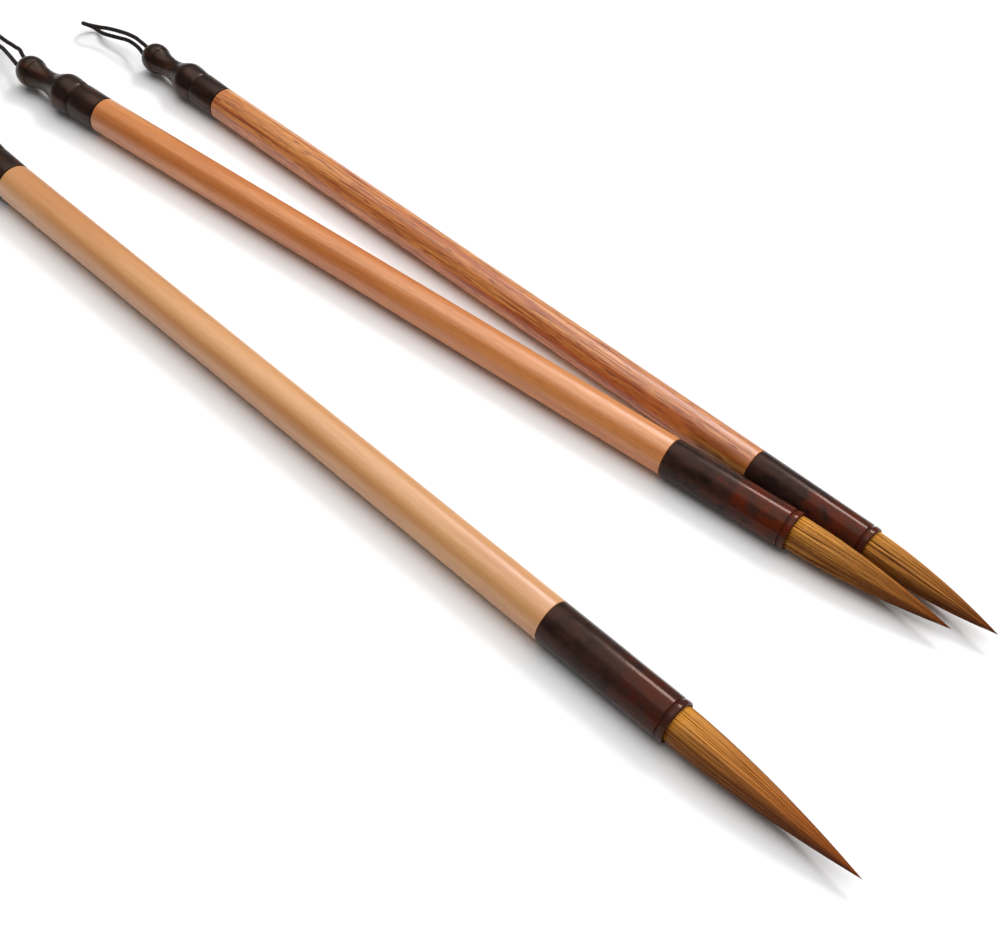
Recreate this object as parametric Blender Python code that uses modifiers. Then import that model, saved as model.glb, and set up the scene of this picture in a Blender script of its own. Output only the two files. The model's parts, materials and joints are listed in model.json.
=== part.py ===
"""A set of three calligraphy brushes of graded size, lying side by side.

Each brush is built upright in its own frame, the way it is turned on a lathe: local +Z runs
from the finial to the point of the hair, and z = 0 is the seam between finial and handle.
An empty then lays the brush down, so that local +X points up from the table.
All lengths are in metres.
"""

import math
from collections import namedtuple

import bmesh
import bpy
from mathutils import Matrix, Vector

# The three brushes: front is the largest and rear the smallest
FRONT_HANDLE_RADIUS = 0.00530
FRONT_HANDLE_LENGTH = 0.1970
FRONT_FINIAL_LENGTH = 0.0350
FRONT_BALL_RADIUS = 0.00480
FRONT_NOTCH_DEPTH = 0.00030
FRONT_HOLE_OFFSET = 0.0019
FRONT_FERRULE_LENGTH = 0.0355
FRONT_TUFT_RADIUS = 0.00445
FRONT_TUFT_LENGTH = 0.0475
FRONT_TIP_DROOP = 0.0013

MIDDLE_HANDLE_RADIUS = 0.00500
MIDDLE_HANDLE_LENGTH = 0.1950
MIDDLE_FINIAL_LENGTH = 0.0344
MIDDLE_BALL_RADIUS = 0.00450
MIDDLE_NOTCH_DEPTH = 0.00045
MIDDLE_HOLE_OFFSET = 0.0021
MIDDLE_FERRULE_LENGTH = 0.0348
MIDDLE_TUFT_RADIUS = 0.00420
MIDDLE_TUFT_LENGTH = 0.0413
MIDDLE_TIP_DROOP = 0.0006

REAR_HANDLE_RADIUS = 0.00465
REAR_HANDLE_LENGTH = 0.1937
REAR_FINIAL_LENGTH = 0.0341
REAR_BALL_RADIUS = 0.00430
REAR_NOTCH_DEPTH = 0.00015
REAR_HOLE_OFFSET = 0.0016
REAR_FERRULE_LENGTH = 0.0336
REAR_TUFT_RADIUS = 0.00390
REAR_TUFT_LENGTH = 0.0347
REAR_TIP_DROOP = 0.0003

# How they lie: headings in degrees from +X, and places of the ferrules' mouths
FRONT_HEADING = -2.1
MIDDLE_HEADING = 4.02
REAR_HEADING = -0.9
FRONT_MOUTH_ASIDE = 0.0621
FRONT_MOUTH_AHEAD = 0.0131
REAR_MOUTH_AHEAD = 0.0147
BRUSH_GAP = 0.00045

# Sizes that the three brushes share
SEAT_GAP = 0.0003
HANDLE_WALL = 0.0020
END_CHAMFER = 0.00025
PEG_LENGTH = 0.0080
PEG_CHAMFER = 0.0005

CAP_SEAM_SETBACK = 0.0020
CAP_WALL = 0.0015
CAP_END_WALL = 0.0022
CAP_PLUG_LENGTH = 0.0015
COLLAR_ROUND = 0.0003
NOTCH_WIDTH = 0.0004

LIP_LENGTH = 0.0015
LIP_INNER_ROUND = 0.00015
GROOVE_WIDTH = 0.0005
GROOVE_DEPTH = 0.00045
MOUTH_DEPTH = 0.0011
SOCKET_WALL = 0.0014
SOCKET_DEPTH = 0.0140

HAIR_SLICE = 0.0008
HAIR_GAP = 0.00010
THREAD_BAND_LENGTH = 0.0040
THREAD_BAND_SETBACK = 0.0035
THREAD_BAND_DEPTH = 0.0007

CORD_DIAMETER = 0.0012
CORD_CLEARANCE = 0.0003
CUT_OVERRUN = 0.0010

# Shapes, as shares of the sizes they follow
COLLAR_SHARE = 0.262
COLLAR_WIDTH_SHARE = 1.05
BULB_SHARE = 0.41
GOURD_SHARES = (
    (0.300, 1.030),
    (0.350, 1.080),
    (BULB_SHARE, 1.120),
    (0.455, 1.100),
    (0.510, 0.940),
    (0.560, 0.770),
    (0.610, 0.680),
    (0.660, 0.637),
    (0.710, 0.650),
    (0.760, 0.700),
)
HAIR_TAPER = 1.75
HAIR_DROOP_POWER = 1.2
HAIR_STATION_SHARES = (0.40, 0.75)
HAIR_TIP_SHARE = 0.02
SHORT_HAIR_SHARE = 0.08
KNOT_WIDTH_SHARE = 0.86

# Counts
TURNED_SIDES = 20
GOURD_STEPS_PER_SPAN = 2
BALL_STEPS = 6
SHOULDER_STEPS = 3
LIP_STEPS = 5
HAIR_SECTORS = 7
HAIR_RINGS = 4
HOLE_SIDES = 12
KNOT_SIDES = 14
KNOT_BANDS = 7
ROUTE_STEPS_PER_SPAN = 24
CORD_BEVEL_RESOLUTION = 2
CORD_DIAMETERS_PER_POINT = 2.2
HALF_SIDE = math.pi / TURNED_SIDES

# Distance under which corners count as one, and the count of millimetres in a metre
MERGE_DISTANCE = 0.00001
MILLIMETRES = 1000

# Routes of the hanging loops, as (beyond the dome's end, aside, above the table), where
# aside counts to the left as seen from the finial.
# The first and last points are the holes' mouths and are worked out from the cap.
FRONT_LOOP_ROUTE = (
    (0.0030, 0.00195, 0.0056),
    (0.0080, 0.0021, 0.0043),
    (0.0135, 0.0026, 0.0022),
    (0.0190, 0.0034, 0.0009),
    (0.0235, 0.0046, 0.0007),
    (0.0254, 0.00385, 0.0007),
    (0.0262, 0.0020, 0.0007),
    (0.0254, 0.00015, 0.0007),
    (0.0235, -0.0006, 0.0007),
    (0.0190, -0.0020, 0.0009),
    (0.0135, -0.0023, 0.0022),
    (0.0080, -0.0022, 0.0043),
    (0.0030, -0.00195, 0.0056),
)
MIDDLE_LOOP_ROUTE = (
    (0.00200, 0.00250, 0.00680),
    (0.00525, 0.00410, 0.00655),
    (0.00740, 0.00450, 0.00615),
    (0.01020, 0.00500, 0.00570),
    (0.01320, 0.00555, 0.00515),
    (0.01645, 0.00635, 0.00455),
    (0.01890, 0.00720, 0.00385),
    (0.02175, 0.00910, 0.00285),
    (0.02445, 0.01110, 0.00175),
    (0.02720, 0.01195, 0.00100),
    (0.02915, 0.01105, 0.00080),
    (0.02995, 0.00925, 0.00080),
    (0.02950, 0.00740, 0.00080),
    (0.02790, 0.00615, 0.00085),
    (0.02525, 0.00550, 0.00120),
    (0.02195, 0.00500, 0.00190),
    (0.01865, 0.00450, 0.00275),
    (0.01560, 0.00395, 0.00340),
    (0.01385, 0.00365, 0.00390),
    (0.01150, 0.00305, 0.00430),
    (0.00860, 0.00190, 0.00495),
    (0.00600, 0.00075, 0.00575),
    (0.00315, -0.00065, 0.00675),
)
REAR_LOOP_ROUTE = (
    (0.00260, 0.00020, 0.00705),
    (0.00560, 0.00040, 0.00705),
    (0.00830, 0.00020, 0.00685),
    (0.00995, 0.00010, 0.00660),
    (0.01325, -0.00045, 0.00605),
    (0.01655, -0.00125, 0.00550),
    (0.01965, -0.00260, 0.00505),
    (0.02255, -0.00430, 0.00505),
    (0.02500, -0.00430, 0.00435),
    (0.02630, -0.00315, 0.00325),
    (0.02630, -0.00165, 0.00210),
    (0.02500, -0.00045, 0.00125),
    (0.02285, -0.00025, 0.00105),
    (0.01980, -0.00075, 0.00195),
    (0.01645, -0.00045, 0.00270),
    (0.01315, 0.00025, 0.00330),
    (0.01040, 0.00075, 0.00380),
    (0.00750, 0.00055, 0.00425),
    (0.00460, 0.00000, 0.00470),
    (0.00180, -0.00085, 0.00505),
)

# Where the two cord holes of each cap lie round its middle, in degrees to the left of upright
FRONT_HOLE_TURNS = (90.0, -90.0)
MIDDLE_HOLE_TURNS = (57.0, -57.0)
REAR_HOLE_TURNS = (5.0, -92.0)

Brush = namedtuple(
    "Brush",
    "name radius handle finial ball notch hole_offset ferrule tuft_radius tuft droop heading "
    "route hole_turns",
)

FRONT = Brush(
    "front",
    FRONT_HANDLE_RADIUS,
    FRONT_HANDLE_LENGTH,
    FRONT_FINIAL_LENGTH,
    FRONT_BALL_RADIUS,
    FRONT_NOTCH_DEPTH,
    FRONT_HOLE_OFFSET,
    FRONT_FERRULE_LENGTH,
    FRONT_TUFT_RADIUS,
    FRONT_TUFT_LENGTH,
    FRONT_TIP_DROOP,
    math.radians(FRONT_HEADING),
    FRONT_LOOP_ROUTE,
    [math.radians(turn) for turn in FRONT_HOLE_TURNS],
)
MIDDLE = Brush(
    "middle",
    MIDDLE_HANDLE_RADIUS,
    MIDDLE_HANDLE_LENGTH,
    MIDDLE_FINIAL_LENGTH,
    MIDDLE_BALL_RADIUS,
    MIDDLE_NOTCH_DEPTH,
    MIDDLE_HOLE_OFFSET,
    MIDDLE_FERRULE_LENGTH,
    MIDDLE_TUFT_RADIUS,
    MIDDLE_TUFT_LENGTH,
    MIDDLE_TIP_DROOP,
    math.radians(MIDDLE_HEADING),
    MIDDLE_LOOP_ROUTE,
    [math.radians(turn) for turn in MIDDLE_HOLE_TURNS],
)
REAR = Brush(
    "rear",
    REAR_HANDLE_RADIUS,
    REAR_HANDLE_LENGTH,
    REAR_FINIAL_LENGTH,
    REAR_BALL_RADIUS,
    REAR_NOTCH_DEPTH,
    REAR_HOLE_OFFSET,
    REAR_FERRULE_LENGTH,
    REAR_TUFT_RADIUS,
    REAR_TUFT_LENGTH,
    REAR_TIP_DROOP,
    math.radians(REAR_HEADING),
    REAR_LOOP_ROUTE,
    [math.radians(turn) for turn in REAR_HOLE_TURNS],
)


def clear_scene():
    for obj in list(bpy.data.objects):
        bpy.data.objects.remove(obj, do_unlink=True)


def new_collection(name):
    collection = bpy.data.collections.new(name)
    bpy.context.scene.collection.children.link(collection)
    return collection


clear_scene()
PARTS = new_collection("calligraphy_brush_set")
CUTTERS = new_collection("cutters")


def finish_material(name, colour, roughness):
    """One Principled material: linear colour, no metal."""
    material = bpy.data.materials.new(name)
    material.use_nodes = True
    shader = material.node_tree.nodes["Principled BSDF"]
    shader.inputs["Base Color"].default_value = (*colour, 1.0)
    shader.inputs["Roughness"].default_value = roughness
    shader.inputs["Metallic"].default_value = 0.0
    return material


LOOKS = {
    "handle": ((0.62, 0.33, 0.15), 0.38),
    "finial": ((0.030, 0.013, 0.009), 0.32),
    "end_cap": ((0.036, 0.015, 0.011), 0.30),
    "ferrule": ((0.050, 0.014, 0.010), 0.14),
    "tuft": ((0.46, 0.22, 0.075), 0.55),
    "tuft_root": ((0.30, 0.17, 0.07), 0.60),
    "thread_band": ((0.60, 0.10, 0.06), 0.75),
    "cord_knot": ((0.030, 0.014, 0.012), 0.80),
    "hanging_loop": ((0.030, 0.014, 0.012), 0.80),
}


def add_node(brush, piece, mesh_or_curve, parent):
    """Name the object after its brush, give it its own material and hang it on its parent."""
    obj = bpy.data.objects.new(f"{brush.name}_{piece}", mesh_or_curve)
    obj.data.materials.append(finish_material(obj.name, *LOOKS[piece]))
    PARTS.objects.link(obj)
    obj.parent = parent
    return obj


def turned_mesh(name, outline):
    """The outline's points as a line of edges, half a side round from +X, ready for Screw.

    Each point is (radius, height). The line starts and ends on the axis or comes back to its
    first point, and it runs down the outer side, so that the turned skin faces out.
    """
    mesh = bpy.data.meshes.new(name)
    closed = outline[0] == outline[-1]
    points = outline[:-1] if closed else outline
    verts = [(r * math.cos(HALF_SIDE), r * math.sin(HALF_SIDE), z) for r, z in points]
    edges = [(i, i + 1) for i in range(len(points) - 1)]
    if closed:
        edges.append((len(points) - 1, 0))
    mesh.from_pydata(verts, edges, [])
    return mesh


def add_screw(obj):
    screw = obj.modifiers.new("turn", "SCREW")
    screw.axis = "Z"
    screw.angle = 2 * math.pi
    screw.steps = TURNED_SIDES
    screw.render_steps = TURNED_SIDES
    screw.use_merge_vertices = True
    screw.merge_threshold = MERGE_DISTANCE
    screw.use_smooth_shade = True
    return obj


def turned(brush, piece, outline, parent):
    return add_screw(add_node(brush, piece, turned_mesh(piece, outline), parent))


def catmull_rom(points, position):
    """A point on the smooth curve through the route's points; position counts in spans."""
    last = len(points) - 1
    span = min(int(position), last - 1)
    t = position - span
    before = points[max(span - 1, 0)]
    start = points[span]
    end = points[span + 1]
    after = points[min(span + 2, last)]
    return [
        0.5 * (2 * q + (r - p) * t + (2 * p - 5 * q + 4 * r - s) * t**2 + (3 * q - p - 3 * r + s) * t**3)
        for p, q, r, s in zip(before, start, end, after)
    ]


def arc(centre_z, radius, start, end, steps):
    """Points of a round stretch: angles from the equator, in radians, downwards negative."""
    points = []
    for i in range(steps + 1):
        angle = start + (end - start) * i / steps
        points.append((radius * math.cos(angle), centre_z + radius * math.sin(angle)))
    return points


# Places along a brush that several pieces share


def ball_centre(brush):
    return brush.ball - brush.finial


def cap_seam(brush):
    return ball_centre(brush) + CAP_SEAM_SETBACK


def cap_seam_radius(brush):
    return math.sqrt(brush.ball**2 - CAP_SEAM_SETBACK**2)


def cap_pocket_radius(brush):
    return cap_seam_radius(brush) - CAP_WALL


def cap_pocket_floor(brush):
    return CAP_END_WALL - brush.finial


def bore_radius(brush):
    return brush.radius - HANDLE_WALL


def peg_radius(brush):
    return bore_radius(brush) - SEAT_GAP


def mouth(brush):
    return brush.handle + brush.ferrule


def mouth_radius(brush):
    return brush.tuft_radius + SEAT_GAP


def socket_radius(brush):
    return brush.radius - SOCKET_WALL


def build_handle(brush, parent):
    """A bamboo tube, bored through, with its ends just broken by a fine chamfer."""
    bore = bore_radius(brush)
    outer = brush.radius
    low = SEAT_GAP
    high = brush.handle
    outline = [
        (bore, high),
        (outer - END_CHAMFER, high),
        (outer, high - END_CHAMFER),
        (outer, low + END_CHAMFER),
        (outer - END_CHAMFER, low),
        (bore, low),
        (bore, high),
    ]
    turned(brush, "handle", outline, parent)


def rounded_shoulder(radius, low, rounding):
    """The rounded lower edge of a stretch with this radius that ends at the height low."""
    points = []
    for i in range(SHOULDER_STEPS + 1):
        angle = math.pi / 2 * i / SHOULDER_STEPS
        points.append(
            (
                radius - rounding + rounding * math.cos(angle),
                low + rounding - rounding * math.sin(angle),
            )
        )
    return points


def gourd_outline(brush):
    """The finial's curve from its flared collar over bulb and neck to the seam of the cap."""
    collar_end = COLLAR_SHARE * brush.finial
    collar_radius = COLLAR_WIDTH_SHARE * brush.radius
    seam = cap_seam(brush) + SEAT_GAP / 2
    seam_radius = cap_seam_radius(brush)
    notch = (brush.radius - brush.notch, -(collar_end + NOTCH_WIDTH))
    route = [notch]
    route += [(share * brush.radius, -station * brush.finial) for station, share in GOURD_SHARES]
    route.append((seam_radius, seam))
    points = [(brush.radius, -END_CHAMFER)]
    points += rounded_shoulder(collar_radius, -collar_end, COLLAR_ROUND)
    for i in range((len(route) - 1) * GOURD_STEPS_PER_SPAN + 1):
        points.append(tuple(catmull_rom(route, i / GOURD_STEPS_PER_SPAN)))
    return points


def build_finial(brush, parent):
    """A turned gourd: peg, collar, bulb, neck and half a ball, with a plug for the cap."""
    peg = peg_radius(brush)
    plug = cap_pocket_radius(brush) - SEAT_GAP
    seam = cap_seam(brush) + SEAT_GAP / 2
    plug_end = cap_seam(brush) - CAP_PLUG_LENGTH
    outline = [
        (0, PEG_LENGTH),
        (peg - PEG_CHAMFER, PEG_LENGTH),
        (peg, PEG_LENGTH - PEG_CHAMFER),
        (peg, 0),
        (brush.radius - END_CHAMFER, 0),
    ]
    outline += gourd_outline(brush)
    outline += [(plug, seam), (plug, plug_end), (0, plug_end)]
    turned(brush, "finial", outline, parent)


def hole_places(brush):
    """Where the two cord holes go through the cap: local X is up and local -Y is aside."""
    places = []
    for turn in brush.hole_turns:
        places.append(Vector((math.cos(turn), -math.sin(turn))) * brush.hole_offset)
    return places


def rod_mesh(name, radius, low, high, places):
    """Upright rods at the places given, as one mesh of separate closed bodies."""
    bm = bmesh.new()
    for place in places:
        bmesh.ops.create_cone(
            bm,
            cap_ends=True,
            segments=HOLE_SIDES,
            radius1=radius,
            radius2=radius,
            depth=high - low,
            matrix=Matrix.Translation((place[0], place[1], (low + high) / 2)),
        )
    mesh = bpy.data.meshes.new(name)
    bm.to_mesh(mesh)
    bm.free()
    return mesh


def add_helper(name, data, parent):
    """A cutter or a guide: linked to its own collection and kept out of the build."""
    obj = bpy.data.objects.new(name, data)
    CUTTERS.objects.link(obj)
    obj.parent = parent
    obj.hide_render = True
    obj.display_type = "WIRE"
    return obj


def knot_span(brush):
    """The knot's lowest and highest point, between the pocket's floor and the plug."""
    low = cap_pocket_floor(brush) + SEAT_GAP
    high = cap_seam(brush) - CAP_PLUG_LENGTH - SEAT_GAP
    return low, high


def build_end_cap(brush, parent):
    """The dome that closes the ball: a cup with two drilled holes for the cord."""
    centre = ball_centre(brush)
    seam = cap_seam(brush) - SEAT_GAP / 2
    pocket = cap_pocket_radius(brush)
    floor = cap_pocket_floor(brush)
    seam_angle = math.asin((seam - centre) / brush.ball)
    outline = [(0, floor), (pocket, floor), (pocket, seam)]
    outline += arc(centre, brush.ball, seam_angle, -math.pi / 2, BALL_STEPS)[:-1]
    outline.append((0, centre - brush.ball))
    cap = turned(brush, "end_cap", outline, parent)

    hole = CORD_DIAMETER / 2 + CORD_CLEARANCE
    low, high = knot_span(brush)
    mesh = rod_mesh(
        "cord_holes",
        hole,
        -brush.finial - CUT_OVERRUN,
        (low + high) / 2 + SEAT_GAP,
        hole_places(brush),
    )
    cutter = add_helper(f"{brush.name}_cord_holes", mesh, parent)
    cut = cap.modifiers.new("cord_holes", "BOOLEAN")
    cut.operation = "DIFFERENCE"
    cut.object = cutter


def hole_mouth_depth(brush):
    """How far the dome's surface at a cord hole lies short of its very end."""
    return brush.ball - math.sqrt(brush.ball**2 - brush.hole_offset**2)


def build_cord_knot(brush, parent):
    """The knot that keeps the loop in the cap, with its two strands up to the hole mouths."""
    low, high = knot_span(brush)
    half = (high - low) / 2
    width = KNOT_WIDTH_SHARE * cap_pocket_radius(brush)
    bm = bmesh.new()
    bmesh.ops.create_uvsphere(
        bm,
        u_segments=KNOT_SIDES,
        v_segments=KNOT_BANDS,
        radius=1,
        matrix=Matrix.Translation((0, 0, (low + high) / 2)) @ Matrix.Diagonal((width, width, half, 1)),
    )
    mesh = bpy.data.meshes.new("cord_knot")
    bm.to_mesh(mesh)
    bm.free()
    knot = add_node(brush, "cord_knot", mesh, parent)

    strand_end = hole_mouth_depth(brush) - brush.finial + SEAT_GAP
    strands = rod_mesh("strands", CORD_DIAMETER / 2, strand_end, (low + high) / 2, hole_places(brush))
    guide = add_helper(f"{brush.name}_knot_strands", strands, parent)
    join = knot.modifiers.new("strands", "BOOLEAN")
    join.operation = "UNION"
    join.object = guide


def ferrule_outline(brush):
    """Peg, flush sleeve, groove and rounded lip, then the mouth and the socket inside."""
    outer = brush.radius
    shoulder = brush.handle + SEAT_GAP
    top = mouth(brush)
    lip_low = top - LIP_LENGTH
    groove_low = lip_low - GROOVE_WIDTH
    groove_middle = (lip_low + groove_low) / 2
    socket = socket_radius(brush)
    opening = mouth_radius(brush)
    peg = peg_radius(brush)
    lip_round = (outer - opening) - LIP_INNER_ROUND
    points = [
        (0, top - SOCKET_DEPTH),
        (socket, top - SOCKET_DEPTH),
        (socket, top - MOUTH_DEPTH),
        (opening, top - MOUTH_DEPTH),
        (opening, top - LIP_INNER_ROUND),
        (opening + LIP_INNER_ROUND, top),
    ]
    for i in range(1, LIP_STEPS + 1):
        angle = math.pi / 2 * (1 - i / LIP_STEPS)
        points.append(
            (
                outer - lip_round + lip_round * math.cos(angle),
                top - lip_round + lip_round * math.sin(angle),
            )
        )
    points += [
        (outer, lip_low + END_CHAMFER),
        (outer - GROOVE_DEPTH, groove_middle + END_CHAMFER / 2),
        (outer - GROOVE_DEPTH, groove_middle - END_CHAMFER / 2),
        (outer, groove_low - END_CHAMFER),
        (outer, shoulder + END_CHAMFER),
        (outer - END_CHAMFER, shoulder),
        (peg, shoulder),
        (peg, brush.handle - PEG_LENGTH + PEG_CHAMFER),
        (peg - PEG_CHAMFER, brush.handle - PEG_LENGTH),
        (0, brush.handle - PEG_LENGTH),
    ]
    return points


def build_ferrule(brush, parent):
    turned(brush, "ferrule", ferrule_outline(brush), parent)


def build_tuft_root(brush, parent):
    """The glued foot of the hair bundle in the ferrule's socket, waisted for its thread."""
    radius = socket_radius(brush) - SEAT_GAP
    waist = radius - THREAD_BAND_DEPTH
    top = mouth(brush) - MOUTH_DEPTH
    low = mouth(brush) - SOCKET_DEPTH + SEAT_GAP
    band_high = low + THREAD_BAND_SETBACK + THREAD_BAND_LENGTH
    band_low = low + THREAD_BAND_SETBACK
    outline = [
        (0, top),
        (radius - PEG_CHAMFER, top),
        (radius, top - PEG_CHAMFER),
        (radius, band_high),
        (waist, band_high),
        (waist, band_low),
        (radius, band_low),
        (radius - PEG_CHAMFER, low),
        (0, low),
    ]
    turned(brush, "tuft_root", outline, parent)

    inner = waist + SEAT_GAP
    high = band_high - SEAT_GAP
    foot = band_low + SEAT_GAP
    middle = (high + foot) / 2
    waist_of_band = radius - END_CHAMFER
    band = [
        (inner, high),
        (waist_of_band, high),
        (radius, middle),
        (waist_of_band, foot),
        (inner, foot),
        (inner, high),
    ]
    turned(brush, "thread_band", band, parent)


def hair_width(share):
    """The tuft's width at a share of its length: full at the mouth, drawn in to a point."""
    return max(1 - share**HAIR_TAPER, HAIR_TIP_SHARE)


def round_the_disc(bm, radius):
    """Push the corners of a subdivided polygon out, so that its rings become round."""
    sector = 2 * math.pi / HAIR_SECTORS
    first_corner = math.pi / 2
    for vert in bm.verts:
        if vert.co.xy.length < radius / (2 * HAIR_RINGS):
            continue
        turn = (math.atan2(vert.co.y, vert.co.x) - first_corner) % sector - sector / 2
        flat = radius * math.cos(sector / 2) / math.cos(turn)
        vert.co.xy = vert.co.xy * (radius / flat)


def build_tuft(brush, parent):
    """The hair: strands that grow from a thin slice and are drawn in alike to one point.

    Every strand keeps its share of the tuft's width all the way, so that none crosses
    another. The parent empty sits on the hinge of the hair, at the ferrule's mouth.
    """
    bm = bmesh.new()
    bmesh.ops.create_circle(
        bm, cap_ends=True, cap_tris=True, segments=HAIR_SECTORS, radius=brush.tuft_radius
    )
    bmesh.ops.subdivide_edges(bm, edges=bm.edges[:], cuts=HAIR_RINGS - 1, use_grid_fill=True)
    round_the_disc(bm, brush.tuft_radius)
    strands = bm.faces[:]
    rim = [edge for edge in bm.edges if edge.is_boundary]

    skirt = bmesh.ops.extrude_edge_only(bm, edges=rim)["geom"]
    foot_verts = [item for item in skirt if isinstance(item, bmesh.types.BMVert)]
    for vert in foot_verts:
        vert.co.z = -HAIR_SLICE
    foot_edges = [item for item in skirt if isinstance(item, bmesh.types.BMEdge) and item.is_boundary]
    bmesh.ops.contextual_create(bm, geom=foot_edges)

    bmesh.ops.inset_individual(bm, faces=strands, thickness=HAIR_GAP / 2, use_even_offset=True)
    width_before = 1.0
    for station in HAIR_STATION_SHARES:
        strands = bmesh.ops.extrude_discrete_faces(bm, faces=strands)["faces"]
        width = hair_width(station)
        for face in strands:
            for vert in face.verts:
                vert.co.xy = vert.co.xy * (width / width_before)
                vert.co.z = station * brush.tuft
        width_before = width

    strands = bmesh.ops.extrude_discrete_faces(bm, faces=strands)["faces"]
    for face in strands:
        centre = face.calc_center_median().xy / width_before
        out_share = centre.length / brush.tuft_radius
        tip_share = 1 - SHORT_HAIR_SHARE * out_share
        place = centre * hair_width(tip_share)
        tip = Vector((place.x, place.y, tip_share * brush.tuft))
        bmesh.ops.pointmerge(bm, verts=face.verts[:], merge_co=tip)

    for vert in bm.verts:
        share = max(vert.co.z, 0) / brush.tuft
        vert.co.x -= brush.droop * share**HAIR_DROOP_POWER
    bmesh.ops.recalc_face_normals(bm, faces=bm.faces)
    mesh = bpy.data.meshes.new("tuft")
    bm.to_mesh(mesh)
    bm.free()
    add_node(brush, "tuft", mesh, parent)


def even_points(route, spacing):
    """Points read at even steps from the smooth curve through the route's own points."""
    fine = []
    for i in range((len(route) - 1) * ROUTE_STEPS_PER_SPAN + 1):
        fine.append(Vector(catmull_rom(route, i / ROUTE_STEPS_PER_SPAN)))
    lengths = [0.0]
    for a, b in zip(fine, fine[1:]):
        lengths.append(lengths[-1] + (b - a).length)
    count = max(round(lengths[-1] / spacing), 2)
    points = []
    k = 0
    for i in range(count + 1):
        target = lengths[-1] * i / count
        while k < len(fine) - 2 and lengths[k + 1] < target:
            k += 1
        share = (target - lengths[k]) / (lengths[k + 1] - lengths[k])
        points.append(fine[k].lerp(fine[k + 1], share))
    return points, lengths[-1]


def build_hanging_loop(brush, parent, end_height):
    """The cord loop: out of one hole, down to the table, round and back into the other."""
    out, back = hole_places(brush)
    exit_depth = -hole_mouth_depth(brush)
    route = [(exit_depth, -out.y, end_height + out.x)]
    route += list(brush.route)
    route.append((exit_depth, -back.y, end_height + back.x))
    points, length = even_points(route, CORD_DIAMETERS_PER_POINT * CORD_DIAMETER)
    print(f"{brush.name}_hanging_loop: {length * MILLIMETRES:.1f} mm in {len(points)} points")

    curve = bpy.data.curves.new("hanging_loop", "CURVE")
    curve.dimensions = "3D"
    curve.bevel_depth = CORD_DIAMETER / 2
    curve.bevel_resolution = CORD_BEVEL_RESOLUTION
    curve.use_fill_caps = True
    spline = curve.splines.new("POLY")
    spline.points.add(len(points) - 1)
    for point, (beyond, aside, height) in zip(spline.points, points):
        point.co = (height - end_height, -aside, -brush.finial - beyond, 1.0)
    add_node(brush, "hanging_loop", curve, parent)


# Laying the brushes down


def bottom_of(radius):
    """From the axis to the middle of the lowest flat side."""
    return radius * math.cos(HALF_SIDE)


def bulb_station(brush):
    return -BULB_SHARE * brush.finial


def bulb_radius(brush):
    return dict(GOURD_SHARES)[BULB_SHARE] * brush.radius


def slope(brush):
    """A brush rests on its bulb and its lip, so its thinner end lies a little lower."""
    rise = bottom_of(brush.radius) - bottom_of(bulb_radius(brush))
    return math.asin(rise / (mouth(brush) - bulb_station(brush)))


def forward(brush):
    dip = slope(brush)
    return Vector(
        (
            math.cos(dip) * math.cos(brush.heading),
            math.cos(dip) * math.sin(brush.heading),
            math.sin(dip),
        )
    )


def beside(brush):
    """Level and square to the brush, to its left seen from the finial."""
    return Vector((-math.sin(brush.heading), math.cos(brush.heading), 0))


def lay_down(brush, mouth_place, parent):
    """An empty at the seam of finial and handle that turns +Z forward and +X up."""
    ahead = forward(brush)
    side = beside(brush)
    up = ahead.cross(side)
    seam_place = mouth_place - ahead * mouth(brush)
    turn = Matrix((up, -side, ahead)).transposed().to_4x4()
    empty = bpy.data.objects.new(f"{brush.name}_brush_frame", None)
    PARTS.objects.link(empty)
    empty.parent = parent
    empty.matrix_local = Matrix.Translation(seam_place) @ turn
    return empty


def dome_end_height(brush):
    """How high the brush's axis lies at the very end of the dome."""
    back_from_bulb = -brush.finial - bulb_station(brush)
    return bottom_of(bulb_radius(brush)) + math.sin(slope(brush)) * back_from_bulb


def build_brush(brush, mouth_place, parent):
    frame = lay_down(brush, mouth_place, parent)
    build_finial(brush, frame)
    build_end_cap(brush, frame)
    build_cord_knot(brush, frame)
    build_hanging_loop(brush, frame, dome_end_height(brush))
    build_handle(brush, frame)
    build_ferrule(brush, frame)
    build_tuft_root(brush, frame)

    hinge = bpy.data.objects.new(f"{brush.name}_tuft_hinge", None)
    PARTS.objects.link(hinge)
    hinge.parent = frame
    hinge.location = (0, 0, mouth(brush))
    build_tuft(brush, hinge)


def mouth_places():
    """The middle brush comes first; its lip all but touches the rear brush's ferrule."""
    middle = Vector((0, 0, bottom_of(MIDDLE.radius)))
    apart = MIDDLE.radius + REAR.radius + BRUSH_GAP
    rear_ahead = Vector((math.cos(REAR.heading), math.sin(REAR.heading), 0))
    rear = middle + beside(REAR) * apart + rear_ahead * REAR_MOUTH_AHEAD
    front = middle + Vector((FRONT_MOUTH_AHEAD, -FRONT_MOUTH_ASIDE, 0))
    rear.z = bottom_of(REAR.radius)
    front.z = bottom_of(FRONT.radius)
    return {"front": front, "middle": middle, "rear": rear}


def centre_on_origin(root):
    """Move the whole set so that its box, without the cords, stands centred on the origin."""
    bpy.context.view_layer.update()
    depsgraph = bpy.context.evaluated_depsgraph_get()
    corners = []
    for obj in PARTS.objects:
        if obj.type != "MESH":
            continue
        shape = obj.evaluated_get(depsgraph)
        corners += [obj.matrix_world @ vert.co for vert in shape.data.vertices]
    low = [min(c[i] for c in corners) for i in range(3)]
    high = [max(c[i] for c in corners) for i in range(3)]
    root.location = (-(low[0] + high[0]) / 2, -(low[1] + high[1]) / 2, -low[2])
    bpy.context.view_layer.update()


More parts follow.
